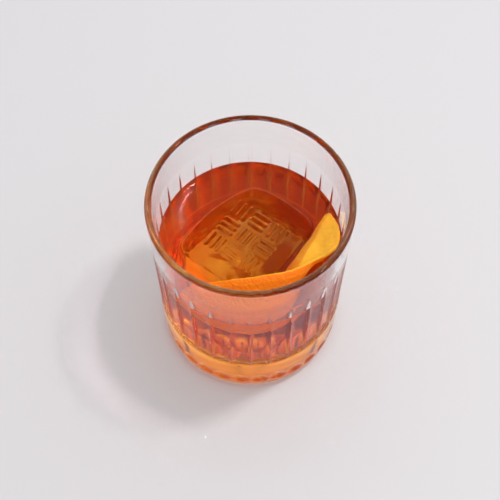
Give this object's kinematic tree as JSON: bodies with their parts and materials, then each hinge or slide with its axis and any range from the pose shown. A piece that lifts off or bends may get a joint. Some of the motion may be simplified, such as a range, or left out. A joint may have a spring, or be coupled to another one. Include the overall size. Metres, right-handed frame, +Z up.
{
  "type": "negroni",
  "caption": "Short red mixed drink in a fluted glass tumbler, served over a large clear ice block with a wide twist of orange peel.",
  "frame": {"origin": "centre of the tumbler's foot, on the surface it stands on", "axes": "+Z up along the tumbler's axis; the strip of peel starts at the +X side and curls round to the -Y side"},
  "size_m": [0.0858, 0.0858, 0.096],
  "materials": {
    "glass": "clear polished glass",
    "drink": "clear deep red liquid",
    "ice": "clear wet ice",
    "peel": "dimpled oily skin outside, pale spongy pith inside"
  },
  "bodies": {
    "root": {"tumbler": "glass", "drink": "drink", "ice_cube": "ice", "orange_peel": "peel"}
  },
  "joints": []
}
